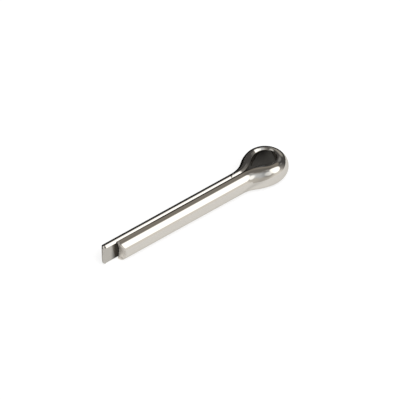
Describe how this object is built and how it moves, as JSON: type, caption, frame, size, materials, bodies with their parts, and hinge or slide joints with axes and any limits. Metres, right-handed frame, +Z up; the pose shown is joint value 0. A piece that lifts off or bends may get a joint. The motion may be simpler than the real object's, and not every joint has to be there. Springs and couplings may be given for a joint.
{
  "type": "cotter pin",
  "caption": "Split cotter pin in bright stainless steel, folded from half-round wire, with a rounded eye leaning to one side, a square-cut short leg and a longer mitred leg.",
  "frame": {"origin": "On the closed shank's axis, where the short leg leaves the underside of the eye.", "axes": "+X along the shank from the eye to the tips, +Y towards the short leg's side, +Z up, square to the plane of the eye. The pin lies on its side, its lowest line 2.2 mm under the origin."},
  "size_m": [0.046, 0.0092, 0.0044],
  "materials": {
    "steel": "bright drawn stainless, polished along the wire"
  },
  "bodies": {
    "root": {"cotter_pin": "steel"}
  },
  "joints": []
}
